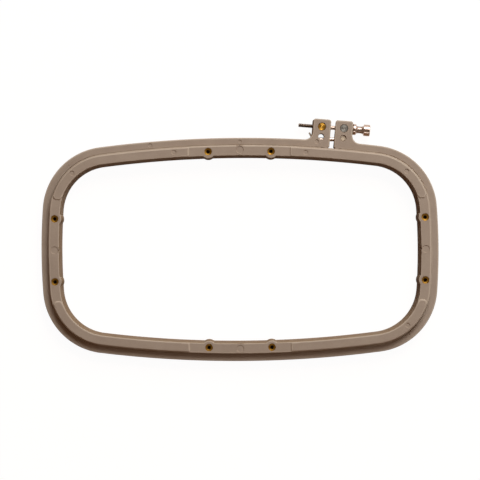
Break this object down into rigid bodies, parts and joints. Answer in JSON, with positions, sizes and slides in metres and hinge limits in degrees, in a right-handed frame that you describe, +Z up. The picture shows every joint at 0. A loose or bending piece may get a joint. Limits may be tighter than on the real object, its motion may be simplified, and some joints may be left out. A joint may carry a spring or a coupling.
{
  "type": "machine embroidery hoop",
  "caption": "Rounded rectangular embroidery hoop: a split outer ring drawn tight by a thumb screw, and a lift-out inner ring with brass inserts for a machine's arm brackets.",
  "frame": {"origin": "middle of the whole part's box, on the plane that both rings rest on; the sewing window's centre is 9.55 mm towards -Y from it, because the clamp's ears stand out on the +Y side", "axes": "+X along the hoop's length, towards the thumb knob's end; +Y towards the clamp; +Z up, out of the face with the brass inserts"},
  "size_m": [0.4024, 0.2454, 0.0212],
  "materials": {
    "ring_plastic": "moulded, fine satin",
    "brass": "turned",
    "turned_steel": "turned face",
    "nickel": "bright nickel plate",
    "plug_plastic": "moulded"
  },
  "bodies": {
    "outer_assembly": {"outer_ring": "ring_plastic", "barrel_nut": "brass", "barrel_swivel": "turned_steel", "guide_pin": "nickel", "guide_pin_plug": "plug_plastic"},
    "inner_assembly": {"inner_ring": "ring_plastic", "insert_back_left": "brass", "insert_back_right": "brass", "insert_front_left": "brass", "insert_front_right": "brass", "insert_left_back": "brass", "insert_left_front": "brass", "insert_right_back": "brass", "insert_right_front": "brass"},
    "screw_assembly": {"clamp_screw": "nickel", "thumb_knob": "nickel"}
  },
  "joints": [
    {"name": "inner_ring_lift", "type": "slide", "parent": "outer_assembly", "child": "inner_assembly", "axis": [0, 0, 1], "range_m": [0, 0.03]},
    {"name": "clamp_screw_turn", "type": "hinge", "parent": "outer_assembly", "child": "screw_assembly", "pos_m": [0.09485, 0.11352, 0.0065], "axis": [-0.9966, 0.0826, 0], "range_deg": [-1440, 1980]}
  ]
}
